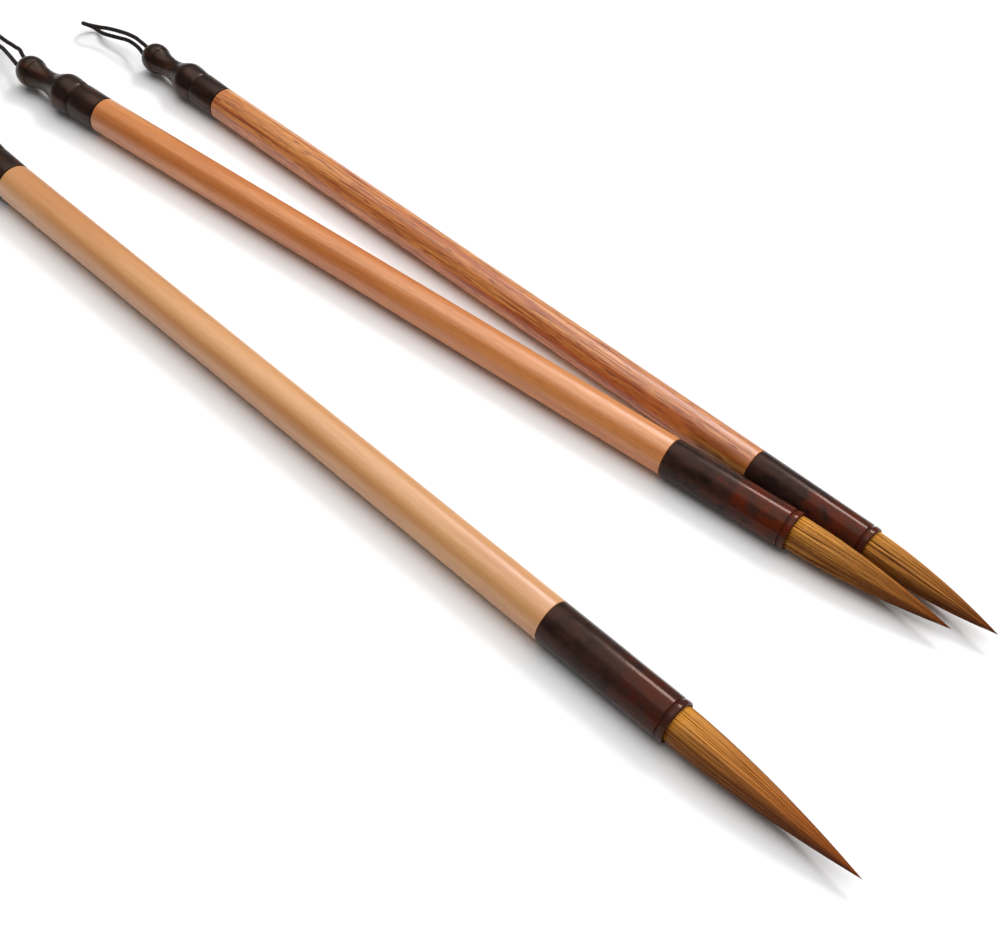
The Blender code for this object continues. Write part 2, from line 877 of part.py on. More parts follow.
def main():
    root = bpy.data.objects.new("brush_set_frame", None)
    PARTS.objects.link(root)
    places = mouth_places()
    for brush in (FRONT, MIDDLE, REAR):
        build_brush(brush, places[brush.name], root)
    centre_on_origin(root)


main()
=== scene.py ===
# %% [markdown]
# # Three calligraphy brushes on a white table
#
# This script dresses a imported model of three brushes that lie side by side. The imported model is
# the frame: it fixes where each piece is and how it moves. Here every piece gets its final
# surface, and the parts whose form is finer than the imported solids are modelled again: the cord
# loops, the turned finials, the polished ferrules, the bamboo handles and the hair.

# %% Load the frame
import json
import math
import random
from collections import namedtuple

import bpy
import numpy as np
from mathutils import Matrix, Vector


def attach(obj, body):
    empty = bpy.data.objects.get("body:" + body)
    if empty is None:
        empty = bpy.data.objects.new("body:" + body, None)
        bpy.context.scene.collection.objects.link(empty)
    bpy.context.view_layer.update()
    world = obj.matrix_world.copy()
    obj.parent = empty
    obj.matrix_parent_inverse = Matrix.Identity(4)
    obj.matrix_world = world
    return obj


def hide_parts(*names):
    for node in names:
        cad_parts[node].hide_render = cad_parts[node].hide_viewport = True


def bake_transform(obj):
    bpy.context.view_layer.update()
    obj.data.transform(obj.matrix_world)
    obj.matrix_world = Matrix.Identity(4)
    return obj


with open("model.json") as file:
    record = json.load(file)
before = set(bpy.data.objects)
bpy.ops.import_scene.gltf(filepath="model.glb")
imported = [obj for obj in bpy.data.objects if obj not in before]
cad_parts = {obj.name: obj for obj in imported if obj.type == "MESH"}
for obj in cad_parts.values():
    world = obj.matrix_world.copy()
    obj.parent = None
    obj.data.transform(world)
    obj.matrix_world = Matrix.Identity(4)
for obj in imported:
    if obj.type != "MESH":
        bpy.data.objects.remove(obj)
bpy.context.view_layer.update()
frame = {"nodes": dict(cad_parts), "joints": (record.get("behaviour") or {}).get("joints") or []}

MM = 0.001

# %% [markdown]
# ## The three brushes and their frames
#
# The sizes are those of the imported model, in millimetres. Each brush has a frame of its own, as
# if it stood on the lathe that turned it: local Z runs forward from the finial to the hair, with
# zero at the seam of finial and handle, and local X points up from the table. The hinge of each
# tuft gives the place of the ferrule's mouth and, by its axis, the brush's heading. A packed brush
# is turned with twenty flat sides and rests on its bulb and its lip, so it slopes a little.

# %% Sizes of the brushes
Brush = namedtuple(
    "Brush", "name radius handle finial ball notch ferrule hair_radius hair droop taper"
)
BRUSHES = (
    Brush("front", 5.30, 197.0, 35.0, 4.80, 0.30, 35.5, 4.45, 47.5, 1.3, 1.80),
    Brush("middle", 5.00, 195.0, 34.4, 4.50, 0.45, 34.8, 4.20, 41.3, 0.6, 1.90),
    Brush("rear", 4.65, 193.7, 34.1, 4.30, 0.15, 33.6, 3.90, 34.7, 0.3, 1.95),
)
HOLE_OFFSET = {"front": 1.9, "middle": 2.1, "rear": 1.6}
HOLE_TURNS = {"front": (90, -90), "middle": (57, -57), "rear": (5, -92)}
BULB_PLACE_SHARE = 0.41
BULB_WIDTH_SHARE = 1.120
PACKED_SIDES = 20
FLAT_SHARE = math.cos(math.pi / PACKED_SIDES)
JOINTS = {joint["name"]: joint for joint in frame["joints"]}


def mouth(brush):
    """How far the ferrule's mouth is from the seam of finial and handle."""
    return brush.handle + brush.ferrule


def brush_frame(brush):
    """The matrix from a brush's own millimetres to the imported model's metres."""
    hinge = JOINTS[f"{brush.name}_tuft_flex"]
    heading = Vector((-hinge["axis"][1], hinge["axis"][0], 0)).normalized()
    rise = brush.radius * FLAT_SHARE * (1 - BULB_WIDTH_SHARE)
    slope = math.asin(rise / (mouth(brush) + BULB_PLACE_SHARE * brush.finial))
    ahead = heading * math.cos(slope) + Vector((0, 0, math.sin(slope)))
    right = ahead.cross(Vector((0, 0, 1))).normalized()
    up = right.cross(ahead)
    place = Vector(hinge["pos_m"]) - ahead * mouth(brush) * MM
    turn = Matrix((up, right, ahead)).transposed().to_4x4()
    return Matrix.Translation(place) @ turn @ Matrix.Scale(MM, 4)


FRAMES = {brush.name: brush_frame(brush) for brush in BRUSHES}
for brush in BRUSHES:
    print(brush.name, "seam at", [round(c / MM, 1) for c in FRAMES[brush.name].translation])

# %% [markdown]
# ## The camera
#
# A camera is matched to a photograph by its focal length, its place and the way it looks. Here
# the photographer stood at the hair's end, held the camera 274 mm above the table and looked down
# at 47 degrees, back towards the finials, with the camera rolled by 8 degrees. The place is given
# from the middle brush's mouth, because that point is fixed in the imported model.

# %% Camera
IMAGE_WIDTH = 1000
FOCAL_PIXELS = 1581.0
SENSOR_WIDTH = 36.0
CAMERA_FROM_MOUTH = Vector((0.089402, -0.240958))
CAMERA_HEIGHT = 0.27418
LOOK_ALONG = Vector((-0.5878, 0.8090, 0)).normalized()
LOOK_DOWN = math.radians(46.705)
ROLL = math.radians(8.0)

camera_data = bpy.data.cameras.new("camera")
camera_data.sensor_width = SENSOR_WIDTH
camera_data.lens = FOCAL_PIXELS / IMAGE_WIDTH * SENSOR_WIDTH
camera = bpy.data.objects.new("camera", camera_data)
bpy.context.scene.collection.objects.link(camera)
bpy.context.scene.camera = camera

look = LOOK_ALONG * math.cos(LOOK_DOWN) + Vector((0, 0, -math.sin(LOOK_DOWN)))
level_right = look.cross(Vector((0, 0, 1))).normalized()
level_up = level_right.cross(look)
right = level_right * math.cos(ROLL) + level_up * math.sin(ROLL)
up = level_up * math.cos(ROLL) - level_right * math.sin(ROLL)
middle_mouth = Vector(JOINTS["middle_tuft_flex"]["pos_m"])
eye = Vector((*(middle_mouth.xy + CAMERA_FROM_MOUTH), CAMERA_HEIGHT))
camera.matrix_world = Matrix.Translation(eye) @ Matrix((right, up, -look)).transposed().to_4x4()
print("camera lens", round(camera_data.lens, 1), "at", [round(c, 3) for c in eye])

# %% [markdown]
# ## The hanging loops
#
# Each finial ends in a small loop of waxed braided cord, by which a brush hangs to dry. A
# simulation could let the cord fall, but it would find turns of its own, not the ones that the
# photograph shows. So a cord this short is best given as a list of points that it passes through,
# and one smooth curve through them. The points count from the end of the dome: how far beyond it,
# how far to the left, and how high above the table. The loop comes down to the table, turns there
# and goes back.

# %% Routes of the loops
CORD_DIAMETER = 1.2
LOOP_ROUTE = {
    "front": (
        (3.0, 1.95, 5.6),
        (8.0, 2.1, 4.3),
        (13.5, 2.6, 2.2),
        (19.0, 3.4, 0.9),
        (23.5, 4.6, 0.7),
        (25.4, 3.85, 0.7),
        (26.2, 2.0, 0.7),
        (25.4, 0.15, 0.7),
        (23.5, -0.6, 0.7),
        (19.0, -2.0, 0.9),
        (13.5, -2.3, 2.2),
        (8.0, -2.2, 4.3),
        (3.0, -1.95, 5.6),
    ),
    "middle": (
        (2.0, 2.5, 6.8),
        (5.25, 4.1, 6.55),
        (7.4, 4.5, 6.15),
        (10.2, 5.0, 5.7),
        (13.2, 5.55, 5.15),
        (16.45, 6.35, 4.55),
        (18.9, 7.2, 3.85),
        (21.75, 9.1, 2.85),
        (24.45, 11.1, 1.75),
        (27.2, 11.95, 1.0),
        (29.15, 11.05, 0.8),
        (29.95, 9.25, 0.8),
        (29.5, 7.4, 0.8),
        (27.9, 6.15, 0.85),
        (25.25, 5.5, 1.2),
        (21.95, 5.0, 1.9),
        (18.65, 4.5, 2.75),
        (15.6, 3.95, 3.4),
        (13.85, 3.65, 3.9),
        (11.5, 3.05, 4.3),
        (8.6, 1.9, 4.95),
        (6.0, 0.75, 5.75),
        (3.15, -0.65, 6.75),
    ),
    "rear": (
        (2.6, 0.2, 7.05),
        (5.6, 0.4, 7.05),
        (8.3, 0.2, 6.85),
        (9.95, 0.1, 6.6),
        (13.25, -0.45, 6.05),
        (16.55, -1.25, 5.5),
        (19.65, -2.6, 5.05),
        (22.55, -4.3, 5.05),
        (25.0, -4.3, 4.35),
        (26.3, -3.15, 3.25),
        (26.3, -1.65, 2.1),
        (25.0, -0.45, 1.25),
        (22.85, -0.25, 1.05),
        (19.8, -0.75, 1.95),
        (16.45, -0.45, 2.7),
        (13.15, 0.25, 3.3),
        (10.4, 0.75, 3.8),
        (7.5, 0.55, 4.25),
        (4.6, 0.0, 4.7),
        (1.8, -0.85, 5.05),
    ),
}
print("points in the routes:", {name: len(route) for name, route in LOOP_ROUTE.items()})

# %% A smooth curve through a route
FINE_STEPS = 40
MEASURING_STEP = 0.5


def catmull_rom(points, position):
    """A point on the smooth curve through the points; position counts in spans."""
    last = len(points) - 1
    span = min(int(position), last - 1)
    t = position - span
    before, start = points[max(span - 1, 0)], points[span]
    end, after = points[span + 1], points[min(span + 2, last)]
    place = []
    for p, q, r, s in zip(before, start, end, after):
        bend = 2 * p - 5 * q + 4 * r - s
        twist = 3 * q - p - 3 * r + s
        place.append(0.5 * (2 * q + (r - p) * t + bend * t**2 + twist * t**3))
    return tuple(place)


def even_curve(points, spacing):
    """Points at even steps of the smooth curve, as an array."""
    steps = FINE_STEPS * (len(points) - 1)
    fine = np.array([catmull_rom(points, i / FINE_STEPS) for i in range(steps + 1)])
    length = np.concatenate(([0], np.cumsum(np.linalg.norm(np.diff(fine, axis=0), axis=1))))
    wanted = np.linspace(0, length[-1], max(round(length[-1] / spacing), 2) + 1)
    return np.stack([np.interp(wanted, length, fine[:, axis]) for axis in range(3)], axis=1)


def hole_places(brush):
    """Where the cord holes lie on the cap, as (up, aside to the left) from its middle."""
    offset = HOLE_OFFSET[brush.name]
    turns = [math.radians(turn) for turn in HOLE_TURNS[brush.name]]
    return [(offset * math.cos(turn), offset * math.sin(turn)) for turn in turns]


def loop_points(brush, spacing):
    """The loop's centreline in the brush's own frame, from one hole's mouth to the other."""
    dome_end = -brush.finial
    depth = brush.ball - math.sqrt(brush.ball**2 - HOLE_OFFSET[brush.name] ** 2)
    axis_height = (FRAMES[brush.name] @ Vector((0, 0, dome_end))).z / MM
    first, last = [(-depth, aside, axis_height + rise) for rise, aside in hole_places(brush)]
    points = even_curve([first, *LOOP_ROUTE[brush.name], last], spacing)
    return np.stack([points[:, 2] - axis_height, -points[:, 1], dome_end - points[:, 0]], axis=1)


for brush in BRUSHES:
    line = loop_points(brush, MEASURING_STEP)
    print(brush.name, "loop", round(np.linalg.norm(np.diff(line, axis=0), axis=1).sum(), 1), "mm")

# %% [markdown]
# A curve object with a round bevel would make a plain tube. The braid needs relief, so here the
# tube is a mesh: a ring of corners at each point of the curve. The rings must not twist against
# each other, so each ring's first direction is carried on from the last one. Two sets of strands
# wind round the cord in opposite turns, and where they cross the cord is a little thicker. One
# braid stitch on a cord of this kind is about a millimetre long.

# %% Tube of braided cord
CORD_SIDES = 20
CORD_STEP = 0.14
STITCH = 1.05
STITCHES_ROUND = 4
BRAID_RELIEF = 0.10
OFF_THE_CORD = (1.0, 0.3, 0.2)


def mesh_from(name, verts, faces):
    """A smooth-shaded mesh of these corners and faces."""
    mesh = bpy.data.meshes.new(name)
    mesh.from_pydata([tuple(v) for v in verts], [], faces)
    mesh.update()
    mesh.polygons.foreach_set("use_smooth", [True] * len(mesh.polygons))
    return mesh


def ring_faces(rings, sides):
    """Quads between rings of corners, and a face on each end."""
    faces = []
    for i in range(rings - 1):
        for j in range(sides):
            k = (j + 1) % sides
            faces.append((i * sides + j, i * sides + k, (i + 1) * sides + k, (i + 1) * sides + j))
    faces.append(tuple(reversed(range(sides))))
    faces.append(tuple(range((rings - 1) * sides, rings * sides)))
    return faces


def braided_tube(name, line):
    """A tube along the line, thicker where the strands of the braid cross."""
    tangents = np.gradient(line, axis=0)
    tangents /= np.linalg.norm(tangents, axis=1)[:, None]
    side = np.cross(tangents[0], OFF_THE_CORD)
    turn = np.linspace(0, 2 * math.pi, CORD_SIDES, endpoint=False)
    verts = []
    along = 0.0
    for i, (point, tangent) in enumerate(zip(line, tangents)):
        side = side - tangent * side.dot(tangent)
        side /= np.linalg.norm(side)
        other = np.cross(tangent, side)
        along += np.linalg.norm(line[i] - line[i - 1]) if i else 0.0
        wind = math.pi * along / STITCH
        weave = np.cos(STITCHES_ROUND * turn + wind) * np.cos(STITCHES_ROUND * turn - wind)
        radius = CORD_DIAMETER / 2 * (1 + BRAID_RELIEF * 0.5 * weave)
        ring = np.outer(np.cos(turn) * radius, side) + np.outer(np.sin(turn) * radius, other)
        verts.extend(point + ring)
    return mesh_from(name, verts, ring_faces(len(line), CORD_SIDES))


print("one stitch is", round(STITCH / CORD_STEP, 1), "rings of", CORD_SIDES, "corners long")

# %% [markdown]
# Each new piece is drawn in the millimetres of its brush's own frame and is then set down on the
# imported model. It rides on the body that it belongs to and hides the imported node whose place it
# takes. The loops are of limp cord, and both of their ends are in the cap.

# %% Loops in place
def add_piece(name, mesh, brush, body, slot, *nodes):
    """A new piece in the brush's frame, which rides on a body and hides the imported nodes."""
    piece = bpy.data.objects.new(name, mesh)
    bpy.context.scene.collection.objects.link(piece)
    mesh.transform(Matrix.Scale(MM, 4))
    piece.matrix_world = FRAMES[brush.name] @ Matrix.Scale(1 / MM, 4)
    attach(piece, body)
    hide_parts(*nodes)
    return piece


PIECES = {}
for brush in BRUSHES:
    name = f"{brush.name}_braided_loop"
    body = f"{brush.name}_brush"
    line = loop_points(brush, CORD_STEP)
    tube = braided_tube(name, line)
    piece = add_piece(name, tube, brush, body, "cord", f"{brush.name}_hanging_loop")
    world = [FRAMES[brush.name] @ Vector(point) for point in line]
    PIECES[name] = piece
    print(name, len(tube.polygons), "faces")

# %% [markdown]
# ## Turned pieces
#
# Finial, cap, handle and ferrule are all turned. A cylinder with more and more cuts could be
# pulled into these forms, but a turner thinks of an outline, and so does this script: each piece
# is an outline of radius and height that a Screw modifier spins round the Z axis. A real edge is
# never quite sharp: it is broken with sandpaper, and the tiny rounding catches the light. So each
# corner of an outline that needs it gets an arc of a given radius before it is spun.

# %% Rounded outlines and the lathe
TURNED_SIDES = 96
CORNER_STEPS = 4
MERGE_DISTANCE = 0.00001


def rounded(points, radius):
    """The outline with each inner corner replaced by a short arc."""
    smooth = [points[0]]
    for before, corner, after in zip(points, points[1:], points[2:]):
        corner_place = Vector(corner)
        back = Vector(before) - corner_place
        on = Vector(after) - corner_place
        reach = min(radius, back.length / 2, on.length / 2)
        start = corner_place + back.normalized() * reach
        end = corner_place + on.normalized() * reach
        for i in range(CORNER_STEPS + 1):
            t = i / CORNER_STEPS
            place = start * (1 - t) ** 2 + corner_place * (2 * t * (1 - t)) + end * t**2
            smooth.append(tuple(place))
    smooth.append(points[-1])
    return smooth


def turned(name, outline):
    """A mesh that holds the outline as a chain of points, for a Screw modifier to spin."""
    verts = [(r, 0, z) for r, z in outline]
    mesh = bpy.data.meshes.new(name)
    mesh.from_pydata(verts, [(i, i + 1) for i in range(len(verts) - 1)], [])
    return mesh


def add_lathe(piece):
    """The Screw modifier that spins a piece's outline once round its own Z axis."""
    screw = piece.modifiers.new("lathe", "SCREW")
    screw.axis = "Z"
    screw.angle = 2 * math.pi
    screw.steps = TURNED_SIDES
    screw.render_steps = TURNED_SIDES
    screw.use_merge_vertices = True
    screw.merge_threshold = MERGE_DISTANCE
    screw.use_smooth_shade = True
    return piece


square_corner = [(1, 0), (1, 1), (0, 1)]
print("an arc for a corner has", len(rounded(square_corner, 0.5)) - 2, "points")

# %% [markdown]
# ### Handles
#
# The handle is a culm of thin bamboo, cut square at both ends. It could be a plain cylinder, but
# its hollow takes the pegs of finial and ferrule, so the outline goes round the wall of the culm.
# Where it meets them its edge is broken by a quarter of a millimetre, which shows as a thin pale
# ring.

# %% Handles
SEAT_GAP = 0.3
HANDLE_WALL = 2.0
EDGE_ROUND = 0.25


def handle_outline(brush):
    """Round the wall of the culm, from the middle of its front end and back to it."""
    bore = brush.radius - HANDLE_WALL
    middle = (bore + brush.radius) / 2
    return [
        (middle, brush.handle),
        (brush.radius, brush.handle),
        (brush.radius, SEAT_GAP),
        (bore, SEAT_GAP),
        (bore, brush.handle),
        (middle, brush.handle),
    ]


for brush in BRUSHES:
    outline = rounded(handle_outline(brush), EDGE_ROUND)
    name = f"{brush.name}_bamboo"
    body = f"{brush.name}_brush"
    piece = add_piece(name, turned(name, outline), brush, body, "bamboo", f"{brush.name}_handle")
    PIECES[name] = add_lathe(piece)
    print(name, brush.handle, "mm long,", 2 * brush.radius, "mm across")

# %% [markdown]
# ### Ferrules
#
# The hair sits in a sleeve of buffalo horn. It is turned flush with the bamboo and ends in a fine
# groove and a rounded lip. A Bevel modifier could round the lip as well, but with the same width
# as every other edge. The lip is what the eye goes to, so it gets an arc of its own with many
# steps.

# %% Ferrules
LIP_LENGTH = 1.5
GROOVE_WIDTH = 0.5
GROOVE_DEPTH = 0.45
MOUTH_DEPTH = 1.1
SOCKET_WALL = 1.4
SOCKET_DEPTH = 14.0
PEG_LENGTH = 8.0
LIP_STEPS = 10
FINE_ROUND = 0.12


def ferrule_outline(brush):
    """From the floor of the hair's socket, over the lip and down the outside to the peg."""
    outer, top = brush.radius, mouth(brush)
    opening = brush.hair_radius + SEAT_GAP
    socket = brush.radius - SOCKET_WALL
    peg = brush.radius - HANDLE_WALL - SEAT_GAP
    lip_low = top - LIP_LENGTH
    groove_low = lip_low - GROOVE_WIDTH
    inside = [
        (0, top - SOCKET_DEPTH),
        (socket, top - SOCKET_DEPTH),
        (socket, top - MOUTH_DEPTH),
        (opening, top - MOUTH_DEPTH),
        (opening, top - FINE_ROUND),
        (opening + FINE_ROUND, top),
    ]
    reach = outer - opening - FINE_ROUND
    lip = []
    for i in range(1, LIP_STEPS + 1):
        angle = math.pi / 2 * (1 - i / LIP_STEPS)
        lip.append((outer - reach * (1 - math.cos(angle)), top - reach * (1 - math.sin(angle))))
    outside = [
        (outer, lip_low + FINE_ROUND),
        (outer - GROOVE_DEPTH, lip_low - GROOVE_WIDTH / 4),
        (outer - GROOVE_DEPTH, groove_low + GROOVE_WIDTH / 4),
        (outer, groove_low - FINE_ROUND),
        (outer, brush.handle + SEAT_GAP / 2),
        (peg, brush.handle + SEAT_GAP / 2),
        (peg, brush.handle - PEG_LENGTH),
        (0, brush.handle - PEG_LENGTH),
    ]
    return rounded(inside, FINE_ROUND) + lip[:-1] + rounded([lip[-1], *outside], FINE_ROUND)


for brush in BRUSHES:
    name = f"{brush.name}_horn_ferrule"
    body = f"{brush.name}_brush"
    mesh = turned(name, ferrule_outline(brush))
    piece = add_piece(name, mesh, brush, body, "ferrule_horn", f"{brush.name}_ferrule")
    PIECES[name] = add_lathe(piece)
    print(name, len(mesh.vertices), "points in the outline")

# %% [markdown]
# ### Finials and caps
#
# The finial is a little double gourd: a collar flush with the bamboo, a notch, a full bulb, a
# narrow neck and a ball. Arcs could be fitted to each other for this, but one smooth curve through
# a few widths gives the same gourd with nothing to fit. The ball's end is a separate cap with two
# holes for the cord, and the seam shows as a fine raised ring.

# %% Outlines of finial and cap
COLLAR_SHARE = 0.262
COLLAR_WIDTH_SHARE = 1.05
GOURD_SHARES = (
    (0.300, 1.030),
    (0.350, 1.080),
    (0.410, 1.120),
    (0.455, 1.100),
    (0.510, 0.940),
    (0.560, 0.770),
    (0.610, 0.680),
    (0.660, 0.637),
    (0.710, 0.650),
    (0.760, 0.700),
)
NOTCH_WIDTH = 0.4
CAP_SEAM_SETBACK = 2.0
SEAM_RING = 0.10
GOURD_STEPS = 8
BALL_STEPS = 28


def seam_of(brush):
    """Height and radius of the ring where finial and cap meet."""
    return (
        brush.ball - brush.finial + CAP_SEAM_SETBACK,
        math.sqrt(brush.ball**2 - CAP_SEAM_SETBACK**2),
    )


def finial_outline(brush):
    """From the peg in the handle, down the double gourd, to the ring at the cap's seam."""
    seam, seam_radius = seam_of(brush)
    collar = -COLLAR_SHARE * brush.finial
    peg = brush.radius - HANDLE_WALL - SEAT_GAP
    head = [(0, PEG_LENGTH), (peg, PEG_LENGTH), (peg, 0), (brush.radius, 0)]
    head.append((COLLAR_WIDTH_SHARE * brush.radius, collar))
    head.append((brush.radius - brush.notch, collar - NOTCH_WIDTH))
    route = [(share * brush.radius, -place * brush.finial) for place, share in GOURD_SHARES]
    route = [head[-1], *route, (seam_radius, seam)]
    steps = GOURD_STEPS * (len(route) - 1)
    gourd = [catmull_rom(route, i / GOURD_STEPS) for i in range(1, steps + 1)]
    ring = [
        (seam_radius + SEAM_RING, seam - 0.3 * SEAM_RING),
        (seam_radius + SEAM_RING, seam - 2 * SEAM_RING),
        (seam_radius - SEAM_RING, seam - 3 * SEAM_RING),
    ]
    return rounded([*head, gourd[0]], EDGE_ROUND)[:-1] + gourd + ring + [(0, ring[-1][1])]


def cap_outline(brush):
    """The rest of the ball, from its seam to the end of the dome."""
    seam, _ = seam_of(brush)
    centre = brush.ball - brush.finial
    low = seam - 2.5 * SEAM_RING
    start = math.asin((low - centre) / brush.ball)
    dome = []
    for i in range(BALL_STEPS + 1):
        angle = start + (-math.pi / 2 - start) * i / BALL_STEPS
        dome.append((max(brush.ball * math.cos(angle), 0), centre + brush.ball * math.sin(angle)))
    return [(0, low), *dome]


for brush in BRUSHES:
    print(brush.name, "cap starts", round(-seam_of(brush)[0], 1), "mm behind the handle")

# %% [markdown]
# The cord's two holes could be modelled by hand, but a drill is simpler: for each hole a cylinder
# and a Boolean modifier that cuts it away. The result is then kept as the cap's own mesh, so that
# the cylinders can go. One that stayed would count as a piece of the brush.

# %% Finials and drilled caps
DRILL_SIDES = 32
HOLE_CLEARANCE = 0.12


def drill_cap(piece, brush):
    """Cut the two cord holes, keep the result as the piece's own mesh and drop the drill."""
    drills = []
    for rise, aside in hole_places(brush):
        radius = (CORD_DIAMETER / 2 + HOLE_CLEARANCE) * MM
        depth = 2 * brush.ball * MM
        bpy.ops.mesh.primitive_cylinder_add(vertices=DRILL_SIDES, radius=radius, depth=depth)
        drill = bpy.context.active_object
        place = Vector((rise, -aside, -brush.finial)) * MM
        drill.matrix_world = piece.matrix_world @ Matrix.Translation(place)
        cut = piece.modifiers.new("drill", "BOOLEAN")
        cut.object = drill
        drills.append(drill)
    bpy.context.view_layer.update()
    depsgraph = bpy.context.evaluated_depsgraph_get()
    drilled = bpy.data.meshes.new_from_object(piece.evaluated_get(depsgraph))
    piece.modifiers.clear()
    piece.data = drilled
    for drill in drills:
        bpy.data.objects.remove(drill, do_unlink=True)


for brush in BRUSHES:
    for kind, outline in (("finial", finial_outline(brush)), ("end_cap", cap_outline(brush))):
        name = f"{brush.name}_turned_{kind}"
        mesh = turned(name, outline)
        node = f"{brush.name}_{kind}"
        piece = add_piece(name, mesh, brush, f"{brush.name}_brush", "finial_wood", node)
        PIECES[name] = add_lathe(piece)
        if kind == "end_cap":
            drill_cap(piece, brush)
        print(name, len(piece.data.vertices), "vertices")

# %% [markdown]
# ## The hair
#
# A good brush has some thousands of fine hairs, thickest where they leave the ferrule and drawn in
# to one point. Hair curves could draw them all, but a model that others load needs a mesh of
# modest size, and seen from a step away the hairs read as strands. So each tuft is a slim core,
# dark as painted shade between the strands, with some hundreds of tapered strands laid over it.
# Every strand keeps its place round the tuft, ends at its own length, and has a tone of its own
# that the material reads, paler on top as painted light and darker below as painted shade. Each
# corner also keeps its place before the hair is drawn in to the point.

# %% Shape of a tuft
DROOP_POWER = 1.2
HAIR_START = -0.8
CORE_SHARE = 0.93
CORE_REACH_SHARE = 0.985
CORE_TIP_RADIUS = 0.02
CORE_RINGS = 40
CORE_RINGS_CROWDING = 0.9
CORE_SIDES = 48


def hair_width(brush, share):
    """Half the tuft's width: full at the mouth, then drawn in to the point."""
    return brush.hair_radius * (1 - np.clip(share, 0, 1) ** brush.taper)


def hair_centre(brush, share):
    """How far the tuft's middle line has sunk below the brush's axis."""
    return -brush.droop * np.clip(share, 0, 1) ** DROOP_POWER


def tuft_core(brush):
    """Corners and faces of the slim body under the strands, dark as painted shade between them."""
    shares = np.linspace(0, 1, CORE_RINGS) ** CORE_RINGS_CROWDING
    turn = np.linspace(0, 2 * math.pi, CORE_SIDES, endpoint=False)
    verts = []
    for share in shares:
        radius = max(CORE_SHARE * float(hair_width(brush, share)), CORE_TIP_RADIUS)
        z = mouth(brush) + (HAIR_START if share == 0 else share * brush.hair * CORE_REACH_SHARE)
        centre = float(hair_centre(brush, share))
        verts.extend((centre + radius * math.cos(a), radius * math.sin(a), z) for a in turn)
    return verts, ring_faces(CORE_RINGS, CORE_SIDES)


print("core of the front tuft:", len(tuft_core(BRUSHES[0])[1]), "faces")

# %% [markdown]
# A strand starts just inside the ferrule and follows the core in one of four layers, which overlap
# as real hairs do. Most strands run to near the point and the rest end earlier. Each one sways a
# little to either side, so that no two gaps are the same.

# %% One strand
STRAND_SIDES = 5
STRAND_RINGS = 15
STRAND_WIDTH = {"front": 0.26, "middle": 0.19, "rear": 0.18}
STRAND_WIDTH_SHARES = (0.7, 1.3)
STRAND_DEPTH = 0.11
LAYER_SHARES = (0.945, 0.965, 0.985, 1.0)
LONG_STRANDS_SHARE = 0.8
LONG_END_SHARE = 0.28
SHORT_REACH_SHARES = (0.55, 0.92)
SWAY, SWAY_WAVES = 0.035, 1.1
LIFT = 0.012
ROUND_END_SHARE = 0.9
WIDTH_AT_POINT_SHARE = 0.35


def strand(brush, dice):
    """Corners of one strand: a flattened tube that thins out along its own length."""
    place = dice.uniform(0, 2 * math.pi)
    layer = dice.choice(LAYER_SHARES)
    if dice.random() < LONG_STRANDS_SHARE:
        reach = 1 - LONG_END_SHARE * dice.random() ** 3
    else:
        reach = dice.uniform(*SHORT_REACH_SHARES)
    sway, phase = dice.gauss(0, SWAY), dice.uniform(0, 2 * math.pi)
    lift = dice.gauss(0, LIFT)
    width = STRAND_WIDTH[brush.name] * dice.uniform(*STRAND_WIDTH_SHARES)
    verts = []
    for i in range(STRAND_RINGS):
        part = i / (STRAND_RINGS - 1)
        share = part * reach
        angle = place + sway * math.sin(SWAY_WAVES * 2 * math.pi * part + phase)
        tuft_width = float(hair_width(brush, share))
        out = tuft_width * (layer + lift * part)
        thin = ROUND_END_SHARE * (1 - part) ** 0.5 + (1 - ROUND_END_SHARE) * (1 - part)
        thin *= WIDTH_AT_POINT_SHARE + (1 - WIDTH_AT_POINT_SHARE) * tuft_width / brush.hair_radius
        outward = Vector((math.cos(angle), math.sin(angle), 0))
        across = Vector((-math.sin(angle), math.cos(angle), 0))
        z = mouth(brush) + (HAIR_START if i == 0 else share * brush.hair)
        middle = outward * max(out, 0) + Vector((float(hair_centre(brush, share)), 0, z))
        for j in range(STRAND_SIDES):
            turn = 2 * math.pi * j / STRAND_SIDES
            verts.append(
                middle
                + across * (width * thin * math.cos(turn))
                + outward * (STRAND_DEPTH * thin * math.sin(turn))
            )
    return verts


sample = strand(BRUSHES[0], random.Random(0))
print("one strand is", round(sample[-1].z - sample[0].z, 1), "mm long")

# %% [markdown]
# A tuft joins its core and all of its strands in one mesh. The tone of a strand depends on how far
# up it lies: the upper side is painted paler and the lower side darker, as painted light and shade,
# and a throw of dice round that gives each strand its own. The dice start from the same seed each
# time, so the hair always looks the same.

# %% A whole tuft
STRANDS = {"front": 560, "middle": 330, "rear": 300}
# The core's tone is painted shade where the strands part; the front core is lighter, so its gaps
# are fainter.
CORE_SHADE_TONE = {"front": 0.42, "middle": 0.12, "rear": 0.12}
# Strand tones run from painted shade on the lower side of a tuft to painted light on its upper
# side.
PAINTED_SHADE_TONE, PAINTED_LIGHT_TONE = 0.06, 0.82
TONE_SPREAD = {"front": 0.16, "middle": 0.34, "rear": 0.34}
PAINTED_LIGHT_FROM_SHARE, PAINTED_LIGHT_TO_SHARE = 0.45, 0.95
SEED = 7


def between_0_and_1(value):
    """The value, but no less than 0 and no more than 1."""
    return min(max(value, 0), 1)


def painted_light_on_top(upwards):
    """Painted light: 0 below, 1 on top, and a soft step between them, for a place given in half
    widths.
    """
    rise = between_0_and_1((upwards - PAINTED_LIGHT_FROM_SHARE) / (PAINTED_LIGHT_TO_SHARE - PAINTED_LIGHT_FROM_SHARE))
    return rise * rise * (3 - 2 * rise)


